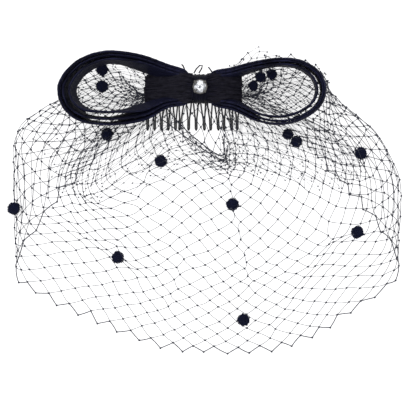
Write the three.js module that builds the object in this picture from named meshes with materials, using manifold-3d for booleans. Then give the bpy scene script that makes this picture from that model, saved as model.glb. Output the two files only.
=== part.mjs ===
// A fascinator lying on its back: a navy crinoline bow over a wire comb, with a gathered birdcage veil.
// Millimetres, +Z up towards the viewer, +X to the right, +Y to the top of the bow.
// The origin is on the back face of the comb's bar, under the rhinestone.
import * as THREE from 'three';
import Module from 'manifold-3d';
import { mergeVertices } from 'three/addons/utils/BufferGeometryUtils.js';

// The veil.
const VEIL_HALF_SPAN = 116.5;
const VEIL_DROP = 161;
const VEIL_LOFT = 20;
const VEIL_COLUMNS = 15;
const VEIL_ROWS = 9;
const NET_RIB = 1.5;
const NET_WALL = 1.2;
const SMALLEST_HOLE = 0.28;
const FLAP_LIFT = 2.0;
const FLAP_COLUMNS = 8;
const FLAP_ROWS = 4;
const DOT_DIAMETER = 7.2;

// The bow.
const LOOP_REACH = 85;
const LOOP_HALF_HEIGHT = 23;
const RIBBON_WIDTH = 17;
const RIBBON_WALL = 1.3;
const LOOP_FLOOR = 10.7;
const LOOP_ROOT = 0.34;
const LEFT_PINCH = { share: 0.48, full: 0.30, none: 0.70, lean: 0.06 };
const RIGHT_PINCH = { share: 0.38, full: 0.15, none: 0.52, lean: 0.02 };
const PAD_LENGTH = 58.2;
const PAD_HEIGHT = 16.8;
const PAD_WAIST = 13.2;
const PAD_FLOOR = 8.3;
const PAD_WALL = 2;
const WRAP_WIDTH = 10.2;
const WRAP_HEIGHT = 18;
const WRAP_FLOOR = 6.7;
const WRAP_TOP = 20.2;
const STONE_DIAMETER = 7.4;

// The comb.
const TEETH = 14;
const TOOTH_PITCH = 4.15;
const COMB_HALF = TOOTH_PITCH * (TEETH - 1) / 2 + 1.5;
const COMB_CENTRE = -4.6;
const COMB_WALL = 1.2;
const BAR_WIDTH = 3;
const TOOTH_LENGTH = 24;
const STEM_LENGTH = 6.6;
const WIRE = 0.9;
const GAP = 0.3;

const wasm = await Module();
wasm.setup();

function geometryFrom(points, triangles) {
  const geometry = new THREE.BufferGeometry();
  geometry.setAttribute('position', new THREE.Float32BufferAttribute(points, 3));
  geometry.setIndex(triangles);
  return geometry;
}

function solidFrom(geometry) {
  const points = Float32Array.from(geometry.getAttribute('position').array);
  const triangles = Uint32Array.from(geometry.getIndex().array);
  const mesh = new wasm.Mesh({ numProp: 3, vertProperties: points, triVerts: triangles });
  mesh.merge();
  return new wasm.Manifold(mesh);
}

function geometryOf(solid) {
  const mesh = solid.getMesh();
  return geometryFrom(Array.from(mesh.vertProperties), Array.from(mesh.triVerts));
}

// A smooth value between the rows of a table, read at a place along its first column.
function readTable(rows, key, place) {
  let k = 0;
  while (k < rows.length - 2 && rows[k + 1].at <= place) {
    k += 1;
  }
  const a = rows[Math.max(k - 1, 0)];
  const b = rows[k];
  const c = rows[k + 1];
  const d = rows[Math.min(k + 2, rows.length - 1)];
  const width = c.at - b.at;
  const t = (place - b.at) / width;
  const slopeB = k === 0 ? c[key] - b[key] : (c[key] - a[key]) * width / (c.at - a.at);
  const slopeC = k === rows.length - 2 ? c[key] - b[key] : (d[key] - b[key]) * width / (d.at - b.at);
  const t2 = t * t;
  const t3 = t2 * t;
  return b[key] * (2 * t3 - 3 * t2 + 1) + slopeB * (t3 - 2 * t2 + t)
    + c[key] * (3 * t2 - 2 * t3) + slopeC * (t3 - t2);
}

// Threads of the veil from its left end to its right end, as they lie. at: share of the hem. x0: where the
// thread is gathered, as a share of the comb's half length from its middle. x1 to x4 and y0 to y4: places at
// each quarter of the thread, as shares of the half span and the drop. z0 to z3: heights, as shares of the
// loft. In the middle the gathered edge hangs free. The ends turn under and come back below the front.
const VEIL_THREADS = [
  { at: 0.000, x0: -1.172, y0: -0.016, z0: 0.12,
    x1: -0.42, y1: 0.06, z1: 0.17, x2: -0.62, y2: 0.07, z2: 0.17,
    x3: -0.58, y3: -0.07, z3: 0.03, x4: -0.33, y4: -0.14 },
  { at: 0.080, x0: -1.102, y0: -0.019, z0: 0.12,
    x1: -0.48, y1: 0.00, z1: 0.26, x2: -0.71, y2: -0.03, z2: 0.20,
    x3: -0.68, y3: -0.16, z3: 0.03, x4: -0.47, y4: -0.22 },
  { at: 0.165, x0: -1.014, y0: -0.022, z0: 0.12,
    x1: -0.49, y1: -0.10, z1: 0.28, x2: -0.85, y2: -0.13, z2: 0.27,
    x3: -0.93, y3: -0.29, z3: 0.12, x4: -0.74, y4: -0.42 },
  { at: 0.236, x0: -0.909, y0: -0.025, z0: 0.12,
    x1: -0.58, y1: -0.22, z1: 0.34, x2: -0.80, y2: -0.38, z2: 0.40,
    x3: -0.93, y3: -0.52, z3: 0.24, x4: -0.96, y4: -0.69 },
  { at: 0.292, x0: -0.786, y0: -0.031, z0: 0.12,
    x1: -0.58, y1: -0.29, z1: 0.44, x2: -0.66, y2: -0.45, z2: 0.62,
    x3: -0.70, y3: -0.59, z3: 0.44, x4: -0.79, y4: -0.79 },
  { at: 0.347, x0: -0.628, y0: -0.050, z0: 0.12,
    x1: -0.50, y1: -0.36, z1: 0.50, x2: -0.49, y2: -0.50, z2: 0.80,
    x3: -0.48, y3: -0.66, z3: 0.52, x4: -0.58, y4: -0.86 },
  { at: 0.403, x0: -0.400, y0: -0.106, z0: 0.14,
    x1: -0.24, y1: -0.34, z1: 0.46, x2: -0.26, y2: -0.56, z2: 0.76,
    x3: -0.28, y3: -0.73, z3: 0.70, x4: -0.37, y4: -0.93 },
  { at: 0.458, x0: 0.056, y0: -0.186, z0: 0.22,
    x1: -0.03, y1: -0.34, z1: 0.52, x2: -0.06, y2: -0.56, z2: 0.96,
    x3: -0.11, y3: -0.77, z3: 0.84, x4: -0.15, y4: -0.98 },
  { at: 0.514, x0: 0.618, y0: -0.252, z0: 0.30,
    x1: 0.14, y1: -0.36, z1: 0.46, x2: 0.14, y2: -0.59, z2: 0.90,
    x3: 0.10, y3: -0.79, z3: 0.86, x4: 0.08, y4: -0.99 },
  { at: 0.569, x0: 0.660, y0: -0.180, z0: 0.24,
    x1: 0.29, y1: -0.35, z1: 0.56, x2: 0.30, y2: -0.59, z2: 1.00,
    x3: 0.28, y3: -0.79, z3: 0.82, x4: 0.31, y4: -0.99 },
  { at: 0.625, x0: 0.770, y0: -0.095, z0: 0.14,
    x1: 0.44, y1: -0.31, z1: 0.50, x2: 0.50, y2: -0.57, z2: 0.84,
    x3: 0.48, y3: -0.76, z3: 0.70, x4: 0.53, y4: -0.95 },
  { at: 0.681, x0: 0.900, y0: -0.055, z0: 0.12,
    x1: 0.57, y1: -0.26, z1: 0.46, x2: 0.68, y2: -0.52, z2: 0.72,
    x3: 0.69, y3: -0.68, z3: 0.56, x4: 0.72, y4: -0.87 },
  { at: 0.760, x0: 1.070, y0: -0.031, z0: 0.12,
    x1: 0.66, y1: -0.18, z1: 0.38, x2: 0.88, y2: -0.37, z2: 0.46,
    x3: 0.99, y3: -0.55, z3: 0.28, x4: 1.03, y4: -0.69 },
  { at: 0.835, x0: 1.232, y0: -0.025, z0: 0.12,
    x1: 0.52, y1: -0.09, z1: 0.28, x2: 0.86, y2: -0.15, z2: 0.28,
    x3: 1.01, y3: -0.32, z3: 0.12, x4: 0.84, y4: -0.45 },
  { at: 0.920, x0: 1.337, y0: -0.022, z0: 0.12,
    x1: 0.45, y1: 0.01, z1: 0.26, x2: 0.69, y2: -0.03, z2: 0.20,
    x3: 0.72, y3: -0.17, z3: 0.03, x4: 0.66, y4: -0.30 },
  { at: 1.000, x0: 1.425, y0: -0.016, z0: 0.12,
    x1: 0.34, y1: 0.12, z1: 0.17, x2: 0.60, y2: 0.09, z2: 0.17,
    x3: 0.64, y3: -0.05, z3: 0.03, x4: 0.52, y4: -0.18 },
];

// How far down the veil the short turned over flap reaches, as a share of the thread below it.
const FLAP_REACH = [
  { at: 0.19, reach: 0.44 },
  { at: 0.29, reach: 0.42 },
  { at: 0.40, reach: 0.27 },
  { at: 0.50, reach: 0.15 },
  { at: 0.60, reach: 0.24 },
  { at: 0.70, reach: 0.38 },
  { at: 0.81, reach: 0.46 },
];

// The point of the veil at a share across the hem and a share down the thread.
function veilPoint(across, down) {
  const rows = [
    {
      at: 0,
      x: COMB_CENTRE + readTable(VEIL_THREADS, 'x0', across) * COMB_HALF,
      y: readTable(VEIL_THREADS, 'y0', across) * VEIL_DROP,
      z: readTable(VEIL_THREADS, 'z0', across) * VEIL_LOFT,
    },
  ];
  for (const step of [1, 2, 3, 4]) {
    const lift = step === 4 ? NET_WALL / 2 : readTable(VEIL_THREADS, 'z' + step, across) * VEIL_LOFT;
    rows.push({
      at: step / 4,
      x: readTable(VEIL_THREADS, 'x' + step, across) * VEIL_HALF_SPAN,
      y: readTable(VEIL_THREADS, 'y' + step, across) * VEIL_DROP,
      z: Math.max(lift, NET_WALL / 2),
    });
  }
  const height = Math.max(readTable(rows, 'z', down), NET_WALL / 2);
  return new THREE.Vector3(readTable(rows, 'x', down), readTable(rows, 'y', down), height);
}

// The point of the flap, which lies over the veil.
function flapPoint(across, down) {
  const first = FLAP_REACH[0].at;
  const last = FLAP_REACH[FLAP_REACH.length - 1].at;
  const place = first + (last - first) * across;
  const point = veilPoint(place, readTable(FLAP_REACH, 'reach', place) * down);
  point.z += FLAP_LIFT + 2.4 * down;
  return point;
}

// A wall cut through in diamonds, with knots where the threads cross. Each knot named in pulls moves to the
// place that the pull gives. The zigzag of the last row is the hem.
function netWall(surface, columns, rows, pulls) {
  const knots = new Map();
  const name = (i, r) => i + ',' + r;
  for (let r = 0; r <= rows; r += 1) {
    for (let i = 0; i <= 2 * columns; i += 1) {
      if ((i + r) % 2 === 0) {
        const grow = r === rows ? 1 : r / rows;
        const point = surface(i / (2 * columns), grow);
        knots.set(name(i, r), { point, normal: new THREE.Vector3(), i, r, taken: false });
      }
    }
  }
  for (const pull of pulls) {
    let best = null;
    let nearest = Infinity;
    for (const knot of knots.values()) {
      const away = knot.point.distanceTo(pull);
      if (!knot.taken && knot.r > 0 && away < nearest) {
        nearest = away;
        best = knot;
      }
    }
    best.taken = true;
    best.point.copy(pull);
  }
  const cells = [];
  for (let r = 0; r < rows; r += 1) {
    for (let i = 1; i < 2 * columns; i += 1) {
      if ((i + r) % 2 === 1) {
        const ring = [knots.get(name(i - 1, r)), knots.get(name(i, r + 1)), knots.get(name(i + 1, r))];
        if (r > 0) {
          ring.push(knots.get(name(i, r - 1)));
        }
        cells.push(ring);
      }
    }
  }
  for (let i = 2; i < 2 * columns; i += 1) {
    if ((i + rows) % 2 === 1) {
      const ring = [knots.get(name(i - 1, rows)), knots.get(name(i + 1, rows)), knots.get(name(i, rows - 1))];
      ring.hem = true;
      cells.push(ring);
    }
  }
  for (const ring of cells) {
    const normal = new THREE.Vector3();
    for (let j = 0; j < ring.length; j += 1) {
      const here = ring[j].point;
      const next = ring[(j + 1) % ring.length].point;
      normal.add(new THREE.Vector3().crossVectors(here, next));
    }
    normal.normalize();
    ring.normal = normal;
    for (const knot of ring) {
      knot.normal.add(normal);
    }
  }
  const points = [];
  const triangles = [];
  const addVertex = (point, normal, side) => {
    points.push(
      point.x + normal.x * side * NET_WALL / 2,
      point.y + normal.y * side * NET_WALL / 2,
      point.z + normal.z * side * NET_WALL / 2,
    );
    return points.length / 3 - 1;
  };
  const addPair = (point, lean) => ({ up: addVertex(point, lean, 1), down: addVertex(point, lean, -1) });
  for (const knot of knots.values()) {
    knot.normal.normalize();
    knot.pair = addPair(knot.point, knot.normal);
  }
  const edges = new Map();
  for (const ring of cells) {
    const count = ring.length;
    const middle = new THREE.Vector3();
    const lean = new THREE.Vector3();
    for (const knot of ring) {
      middle.addScaledVector(knot.point, 1 / count);
      lean.add(knot.normal);
    }
    lean.normalize();
    let inside = Infinity;
    for (let j = 0; j < count; j += 1) {
      const here = ring[j].point;
      const next = ring[(j + 1) % count].point;
      const along = new THREE.Vector3().subVectors(next, here);
      const across = new THREE.Vector3().subVectors(middle, here);
      inside = Math.min(inside, new THREE.Vector3().crossVectors(along, across).length() / along.length());
      edges.set(ring[j].i + ',' + ring[j].r + '>' + ring[(j + 1) % count].i + ',' + ring[(j + 1) % count].r,
        [ring[j], ring[(j + 1) % count]]);
    }
    const share = (inside - NET_RIB * (ring.hem ? 0.8 : 0.5)) / inside;
    if (count === 3 && !ring.hem) {
      triangles.push(ring[0].pair.up, ring[1].pair.up, ring[2].pair.up);
      triangles.push(ring[0].pair.down, ring[2].pair.down, ring[1].pair.down);
    } else if (share < SMALLEST_HOLE) {
      const centre = addPair(middle, lean);
      for (let j = 0; j < count; j += 1) {
        const here = ring[j].pair;
        const next = ring[(j + 1) % count].pair;
        triangles.push(here.up, next.up, centre.up);
        triangles.push(here.down, centre.down, next.down);
      }
    } else {
      const hole = ring.map((knot) => {
        const corner = new THREE.Vector3().lerpVectors(middle, knot.point, share);
        const tilt = new THREE.Vector3().addVectors(knot.normal, lean).normalize();
        return addPair(corner, tilt);
      });
      for (let j = 0; j < count; j += 1) {
        const here = ring[j].pair;
        const next = ring[(j + 1) % count].pair;
        const cut = hole[j];
        const cutNext = hole[(j + 1) % count];
        triangles.push(here.up, next.up, cutNext.up, here.up, cutNext.up, cut.up);
        triangles.push(here.down, cutNext.down, next.down, here.down, cut.down, cutNext.down);
        triangles.push(cut.up, cutNext.up, cutNext.down, cut.up, cutNext.down, cut.down);
      }
    }
  }
  for (const [here, next] of edges.values()) {
    if (!edges.has(next.i + ',' + next.r + '>' + here.i + ',' + here.r)) {
      triangles.push(here.pair.up, next.pair.down, next.pair.up);
      triangles.push(here.pair.up, here.pair.down, next.pair.down);
    }
  }
  const used = new Map();
  const kept = [];
  const renamed = triangles.map((index) => {
    if (!used.has(index)) {
      used.set(index, kept.length / 3);
      kept.push(points[3 * index], points[3 * index + 1], points[3 * index + 2]);
    }
    return used.get(index);
  });
  return geometryFrom(kept, renamed);
}

// Chenille dots, as shares of the half span, the drop and the loft, with the size as a share of the dot's
// diameter. A dot sits on the knot of the net that is drawn to it.
const DOTS = [
  { name: 'dot_01', x: -0.505, y: 0.071, z: 0.210, size: 1.0 },
  { name: 'dot_02', x: -0.505, y: 0.007, z: 0.240, size: 1.0 },
  { name: 'dot_03', x: -0.620, y: -0.093, z: 0.220, size: 0.95 },
  { name: 'dot_04', x: -0.480, y: -0.172, z: 0.290, size: 1.0 },
  { name: 'dot_05', x: -0.203, y: -0.274, z: 0.370, size: 1.0 },
  { name: 'dot_06', x: -0.962, y: -0.449, z: 0.210, size: 1.0 },
  { name: 'dot_07', x: -0.420, y: -0.630, z: 0.650, size: 1.0 },
  { name: 'dot_08', x: 0.167, y: -0.434, z: 0.600, size: 1.0 },
  { name: 'dot_09', x: 0.224, y: -0.863, z: 0.600, size: 1.0 },
  { name: 'dot_10', x: 0.808, y: -0.537, z: 0.560, size: 1.0 },
  { name: 'dot_11', x: 0.829, y: -0.244, z: 0.390, size: 1.0 },
  { name: 'dot_12', x: 0.453, y: -0.172, z: 0.320, size: 0.90 },
  { name: 'dot_13', x: 0.497, y: -0.200, z: 0.380, size: 0.93 },
  { name: 'dot_14', x: 0.312, y: 0.043, z: 0.210, size: 0.86 },
  { name: 'dot_15', x: 0.372, y: 0.052, z: 0.225, size: 0.86 },
  { name: 'dot_16', x: 0.275, y: 0.010, z: 0.210, size: 0.80 },
];

// Rims of the two loops, round each loop from its upper root to its lower root. x and y are shares of the
// reach and the half height. middle and inner: how far those bands stand in from the rim, in millimetres.
const LEFT_RIM = [
  { x: -0.085, y: 0.42, middle: 1.7, inner: 3.4 },
  { x: -0.226, y: 0.63, middle: 1.8, inner: 3.6 },
  { x: -0.440, y: 0.88, middle: 2.0, inner: 4.0 },
  { x: -0.685, y: 0.94, middle: 2.2, inner: 4.4 },
  { x: -0.882, y: 0.65, middle: 2.6, inner: 5.4 },
  { x: -1.000, y: 0.05, middle: 2.8, inner: 6.2 },
  { x: -0.972, y: -0.52, middle: 2.9, inner: 6.2 },
  { x: -0.854, y: -0.91, middle: 3.2, inner: 6.6 },
  { x: -0.610, y: -1.03, middle: 3.4, inner: 7.2 },
  { x: -0.374, y: -0.90, middle: 2.8, inner: 5.6 },
  { x: -0.226, y: -0.58, middle: 1.9, inner: 3.8 },
  { x: -0.085, y: -0.44, middle: 1.7, inner: 3.4 },
  { x: -0.068, y: 0.01, middle: 1.7, inner: 3.4 },
];
const RIGHT_RIM = [
  { x: 0.080, y: 0.41, middle: 1.7, inner: 3.4 },
  { x: 0.220, y: 0.54, middle: 1.7, inner: 3.4 },
  { x: 0.400, y: 0.69, middle: 1.7, inner: 3.4 },
  { x: 0.579, y: 0.77, middle: 1.7, inner: 3.5 },
  { x: 0.720, y: 0.70, middle: 1.8, inner: 4.0 },
  { x: 0.847, y: 0.38, middle: 1.9, inner: 4.8 },
  { x: 0.890, y: -0.08, middle: 1.9, inner: 5.0 },
  { x: 0.847, y: -0.53, middle: 1.9, inner: 4.8 },
  { x: 0.720, y: -0.87, middle: 1.9, inner: 4.6 },
  { x: 0.579, y: -1.00, middle: 1.9, inner: 4.4 },
  { x: 0.400, y: -0.93, middle: 2.1, inner: 4.3 },
  { x: 0.230, y: -0.64, middle: 2.1, inner: 4.0 },
  { x: 0.080, y: -0.46, middle: 1.8, inner: 3.5 },
  { x: 0.064, y: 0.00, middle: 1.7, inner: 3.4 },
];
const RIM_STEPS = 44;

// One ribbon band on edge: a closed wall between a lower outline and a wider upper one. Towards the wrap it
// is pressed down to the root's share of its width, and its lower edge is drawn to the middle line by the
// pinch's share, so that the ribbon lies over. lean: how far the lower outline stands in at the loop's end.
function loopBand(rim, pinch, band) {
  const controls = rim.map((row) => new THREE.Vector3(row.x * LOOP_REACH, row.y * LOOP_HALF_HEIGHT,
    band === 'outer' ? 0 : row[band]));
  const curve = new THREE.CatmullRomCurve3(controls, true, 'centripetal');
  const points = [];
  const triangles = [];
  const flat = curve.getPoints(RIM_STEPS).map((p) => new THREE.Vector2(p.x, p.y));
  const turn = THREE.ShapeUtils.isClockWise(flat) ? -1 : 1;
  for (let k = 0; k < RIM_STEPS; k += 1) {
    const place = curve.getPoint(k / RIM_STEPS);
    const tangent = curve.getTangent(k / RIM_STEPS);
    const inward = new THREE.Vector2(-tangent.y, tangent.x).normalize().multiplyScalar(turn);
    for (const up of [0, 1]) {
      for (const inset of [place.z, place.z + RIBBON_WALL]) {
        const x = place.x + inward.x * inset;
        const y = place.y + inward.y * inset;
        const reach = Math.abs(x) / LOOP_REACH;
        const open = THREE.MathUtils.smoothstep(reach, 0.08, 0.5);
        const height = RIBBON_WIDTH * (LOOP_ROOT + (1 - LOOP_ROOT) * open);
        const squeeze = pinch.share * (1 - THREE.MathUtils.smoothstep(reach, pinch.full, pinch.none));
        const taper = 1 - pinch.lean * (1 - up) * height / RIBBON_WIDTH;
        points.push(x * taper, y * (1 - squeeze * (1 - up)), LOOP_FLOOR + up * height);
      }
    }
    const a = 4 * k;
    const b = 4 * ((k + 1) % RIM_STEPS);
    for (const [p, q] of [[0, 2], [2, 3], [3, 1], [1, 0]]) {
      triangles.push(a + p, b + p, b + q, a + p, b + q, a + q);
    }
  }
  return geometryFrom(points, triangles);
}

// The flat crinkled piece across the middle, narrowed at its waist.
function padPiece() {
  const alongSteps = 14;
  const acrossSteps = 6;
  const left = -33;
  const middleY = -1.2;
  const points = [];
  const triangles = [];
  for (const face of [0, 1]) {
    for (let i = 0; i <= alongSteps; i += 1) {
      const x = left + PAD_LENGTH * i / alongSteps;
      const open = THREE.MathUtils.smoothstep(Math.abs(x), WRAP_WIDTH / 2 + 0.6, WRAP_WIDTH / 2 + 7);
      const height = PAD_WAIST + (PAD_HEIGHT - PAD_WAIST) * open;
      for (let j = 0; j <= acrossSteps; j += 1) {
        const y = middleY + height * (j / acrossSteps - 0.5);
        const crinkle = 0.5 * open * ((i + j) % 2);
        points.push(x, y, PAD_FLOOR + (face === 1 ? PAD_WALL - crinkle : 0));
      }
    }
  }
  const row = acrossSteps + 1;
  const layer = (alongSteps + 1) * row;
  for (let i = 0; i < alongSteps; i += 1) {
    for (let j = 0; j < acrossSteps; j += 1) {
      const a = i * row + j;
      triangles.push(a, a + 1, a + row + 1, a, a + row + 1, a + row);
      const up = layer + a;
      triangles.push(up, up + row + 1, up + 1, up, up + row, up + row + 1);
    }
    for (const [a, way] of [[i * row, 1], [i * row + acrossSteps, -1]]) {
      const b = a + row;
      triangles.push(...(way === 1 ? [a, b, b + layer, a, b + layer, a + layer]
        : [a, b + layer, b, a, a + layer, b + layer]));
    }
  }
  for (let j = 0; j < acrossSteps; j += 1) {
    for (const [a, way] of [[j, -1], [alongSteps * row + j, 1]]) {
      const b = a + 1;
      triangles.push(...(way === 1 ? [a, b, b + layer, a, b + layer, a + layer]
        : [a, b + layer, b, a, a + layer, b + layer]));
    }
  }
  return geometryFrom(points, triangles);
}

// A closed solid through a stack of rings with the same number of points.
function stack(rings) {
  const count = rings[0].length;
  const points = [];
  const triangles = [];
  for (const ring of rings) {
    for (const point of ring) {
      points.push(point.x, point.y, point.z);
    }
  }
  for (const ring of [rings[0], rings[rings.length - 1]]) {
    const centre = new THREE.Vector3();
    for (const point of ring) {
      centre.addScaledVector(point, 1 / count);
    }
    points.push(centre.x, centre.y, centre.z);
  }
  const first = rings.length * count;
  for (let k = 0; k < count; k += 1) {
    const next = (k + 1) % count;
    for (let r = 0; r < rings.length - 1; r += 1) {
      const a = r * count + k;
      const b = r * count + next;
      triangles.push(a, b, b + count, a, b + count, a + count);
    }
    triangles.push(first, next, k);
    triangles.push(first + 1, (rings.length - 1) * count + k, (rings.length - 1) * count + next);
  }
  return geometryFrom(points, triangles);
}

// Faces that point inwards are turned round.
function outward(geometry) {
  const points = geometry.getAttribute('position').array;
  const triangles = Array.from(geometry.getIndex().array);
  let volume = 0;
  for (let k = 0; k < triangles.length; k += 3) {
    const [a, b, c] = [0, 1, 2].map((j) => new THREE.Vector3().fromArray(points, 3 * triangles[k + j]));
    volume += a.dot(b.cross(c));
  }
  if (volume > 0) {
    return geometry;
  }
  for (let k = 0; k < triangles.length; k += 3) {
    [triangles[k + 1], triangles[k + 2]] = [triangles[k + 2], triangles[k + 1]];
  }
  return geometryFrom(Array.from(points), triangles);
}

// Shared corners become one, and triangles without area go.
function welded(geometry) {
  const bare = geometry.clone();
  bare.deleteAttribute('normal');
  bare.deleteAttribute('uv');
  const joined = mergeVertices(bare, 1e-4);
  const index = Array.from(joined.getIndex().array);
  const triangles = [];
  for (let k = 0; k < index.length; k += 3) {
    const [a, b, c] = [index[k], index[k + 1], index[k + 2]];
    if (a !== b && b !== c && c !== a) {
      triangles.push(a, b, c);
    }
  }
  return outward(geometryFrom(Array.from(joined.getAttribute('position').array), triangles));
}

// The gathered wrap, with a slot for the piece that it holds.
function wrapPiece() {
  const sides = 20;
  const folds = [0.55, 1, 0.86, 1, 0.9, 1, 0.88, 1, 0.55];
  const middle = -0.15;
  const rings = folds.map((fold, k) => {
    const x = middle + WRAP_WIDTH * (k / (folds.length - 1) - 0.5);
    const ring = [];
    for (let j = 0; j < sides; j += 1) {
      const angle = 2 * Math.PI * j / sides;
      const upper = Math.sin(angle) > 0;
      const flat = upper ? 0.75 : 0.3;
      const y = Math.sign(Math.cos(angle)) * Math.abs(Math.cos(angle)) ** flat;
      const z = Math.sign(Math.sin(angle)) * Math.abs(Math.sin(angle)) ** flat;
      const waist = PAD_FLOOR + PAD_WALL / 2;
      const reach = upper ? (WRAP_TOP - waist) * (0.8 + 0.2 * fold) : waist - WRAP_FLOOR;
      ring.push(new THREE.Vector3(x, -0.6 + y * WRAP_HEIGHT / 2 * (0.97 + 0.03 * fold), waist + z * reach));
    }
    return ring;
  });
  const slot = new THREE.BoxGeometry(WRAP_WIDTH + 2, PAD_WAIST + 2 * GAP, PAD_WALL + 2 * GAP);
  slot.translate(middle, -1.2, PAD_FLOOR + PAD_WALL / 2);
  return geometryOf(solidFrom(outward(stack(rings))).subtract(solidFrom(welded(slot))));
}

// A lathed solid about the upright axis at the stone.
function turned(profile, sides) {
  const geometry = new THREE.LatheGeometry(profile.map(([r, z]) => new THREE.Vector2(r, z)), sides);
  geometry.rotateX(Math.PI / 2);
  return welded(geometry);
}

const seat = WRAP_TOP + GAP;
const stoneRadius = STONE_DIAMETER / 2;
const girdle = seat + 1.3 + 0.34 * STONE_DIAMETER;
const table = girdle + 0.3 + 0.17 * STONE_DIAMETER;

function stonePiece() {
  return turned([
    [0, seat + 1.3],
    [0.35 * stoneRadius, seat + 1.3],
    [stoneRadius, girdle],
    [stoneRadius, girdle + 0.3],
    [0.58 * stoneRadius, table],
    [0, table],
  ], 12);
}

function settingPiece() {
  const rim = girdle - 0.5;
  let cup = solidFrom(turned([
    [0, seat],
    [0.8 * stoneRadius, seat],
    [stoneRadius + 0.7, rim - 1],
    [stoneRadius + 0.7, rim],
    [0.97 * stoneRadius, rim],
    [0.35 * stoneRadius + 0.1, seat + 1],
    [0, seat + 1],
  ], 12));
  for (const angle of [45, 135, 225, 315]) {
    const claw = new THREE.BoxGeometry(0.8, 0.9, table - seat - 0.8);
    claw.translate(stoneRadius + 0.7, 0, (table + seat + 0.8) / 2);
    const tip = new THREE.BoxGeometry(0.9 + 0.25 * stoneRadius, 0.9, 0.5);
    tip.translate(stoneRadius + 1.1 - 0.45 - 0.125 * stoneRadius, 0, table + 0.1);
    for (const box of [claw, tip]) {
      box.rotateZ(THREE.MathUtils.degToRad(angle));
      cup = cup.add(solidFrom(welded(box)));
    }
  }
  return geometryOf(cup);
}

// The comb: a flat bar and forked teeth whose legs meet in a stem. Some stems are bent a little sideways.
const STEM_BENDS = [0, 0, 0, 0, 0.2, -1.6, -0.2, 0.2, 1.1, 0.7, 1.2, 0.4, 0.9, 0];

function combPiece() {
  const legs = 1.05;
  const half = WIRE / 2;
  const edge = -BAR_WIDTH / 2;
  const fork = edge - TOOTH_LENGTH + STEM_LENGTH;
  const tip = edge - TOOTH_LENGTH;
  const first = -TOOTH_PITCH * (TEETH - 1) / 2;
  const side = -first + legs + half;
  const outline = new THREE.Shape();
  outline.moveTo(-side, BAR_WIDTH / 2);
  outline.lineTo(-side, edge);
  for (let k = 0; k < TEETH; k += 1) {
    const root = first + TOOTH_PITCH * k;
    const foot = root + (STEM_BENDS[k] ?? 0);
    const mid = root + (STEM_BENDS[k] ?? 0) * 0.6;
    if (k > 0) {
      outline.lineTo(root - legs - half, edge);
    }
    outline.lineTo(mid - half * 1.2, fork);
    outline.lineTo(foot - half, tip + half);
    outline.lineTo(foot, tip);
    outline.lineTo(foot + half, tip + half);
    outline.lineTo(mid + half * 1.2, fork);
    outline.lineTo(root + legs + half, edge);
    const gap = new THREE.Path();
    gap.moveTo(root - legs + half, edge - GAP);
    gap.lineTo(root + legs - half, edge - GAP);
    gap.lineTo(mid, fork + 2);
    gap.closePath();
    outline.holes.push(gap);
  }
  outline.lineTo(side, BAR_WIDTH / 2);
  outline.closePath();
  const flat = { depth: COMB_WALL, bevelEnabled: false, curveSegments: 2 };
  const geometry = new THREE.ExtrudeGeometry(outline, flat);
  geometry.translate(COMB_CENTRE, 0, 0);
  return welded(geometry);
}

const dotPlace = (dot) => new THREE.Vector3(dot.x * VEIL_HALF_SPAN, dot.y * VEIL_DROP, dot.z * VEIL_LOFT);

function ball(dot, extra, around, up) {
  const geometry = new THREE.SphereGeometry(DOT_DIAMETER / 2 * dot.size + extra, around, up);
  geometry.translate(...dotPlace(dot).toArray());
  return welded(geometry);
}

// What a cut leaves loose is dropped.
function joinedPart(solid) {
  return solid.decompose().reduce((best, body) => (body.volume() > best.volume() ? body : best));
}

let veil = solidFrom(netWall(veilPoint, VEIL_COLUMNS, VEIL_ROWS, DOTS.map(dotPlace)));
let flap = solidFrom(netWall(flapPoint, FLAP_COLUMNS, FLAP_ROWS, []));
for (const dot of DOTS) {
  const room = solidFrom(ball(dot, GAP, 10, 7));
  veil = veil.subtract(room);
  flap = flap.subtract(room);
}

const NAVY = { color: 0x0c1020, roughness: 0.7, metalness: 0 };
const NET = { color: 0x1a1c24, roughness: 0.8, metalness: 0 };
const pieces = [
  ['comb', combPiece(), { color: 0x0b0b0c, roughness: 0.35, metalness: 0.4 }],
  ['veil', geometryOf(joinedPart(veil)), NET],
  ['veil_flap', geometryOf(joinedPart(flap)), NET],
  ['pad', outward(padPiece()), { color: 0x16141c, roughness: 0.75, metalness: 0 }],
  ['loop_left_outer', outward(loopBand(LEFT_RIM, LEFT_PINCH, 'outer')), NAVY],
  ['loop_left_middle', outward(loopBand(LEFT_RIM, LEFT_PINCH, 'middle')), NAVY],
  ['loop_left_inner', outward(loopBand(LEFT_RIM, LEFT_PINCH, 'inner')), NAVY],
  ['loop_right_outer', outward(loopBand(RIGHT_RIM, RIGHT_PINCH, 'outer')), NAVY],
  ['loop_right_middle', outward(loopBand(RIGHT_RIM, RIGHT_PINCH, 'middle')), NAVY],
  ['loop_right_inner', outward(loopBand(RIGHT_RIM, RIGHT_PINCH, 'inner')), NAVY],
  ['centre_wrap', wrapPiece(), NAVY],
  ['stone_setting', settingPiece(), { color: 0xa8a49a, roughness: 0.25, metalness: 1 }],
  ['stone', stonePiece(), { color: 0xf4f6fa, roughness: 0.03, metalness: 0 }],
];
for (const dot of DOTS) {
  pieces.push([dot.name, ball(dot, 0, 10, 7), { color: 0x050a20, roughness: 0.9, metalness: 0 }]);
}

const fascinator = new THREE.Group();
for (const [name, geometry, finish] of pieces) {
  const mesh = new THREE.Mesh(geometry, new THREE.MeshStandardMaterial(finish));
  mesh.name = name;
  fascinator.add(mesh);
}

export default fascinator;
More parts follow.
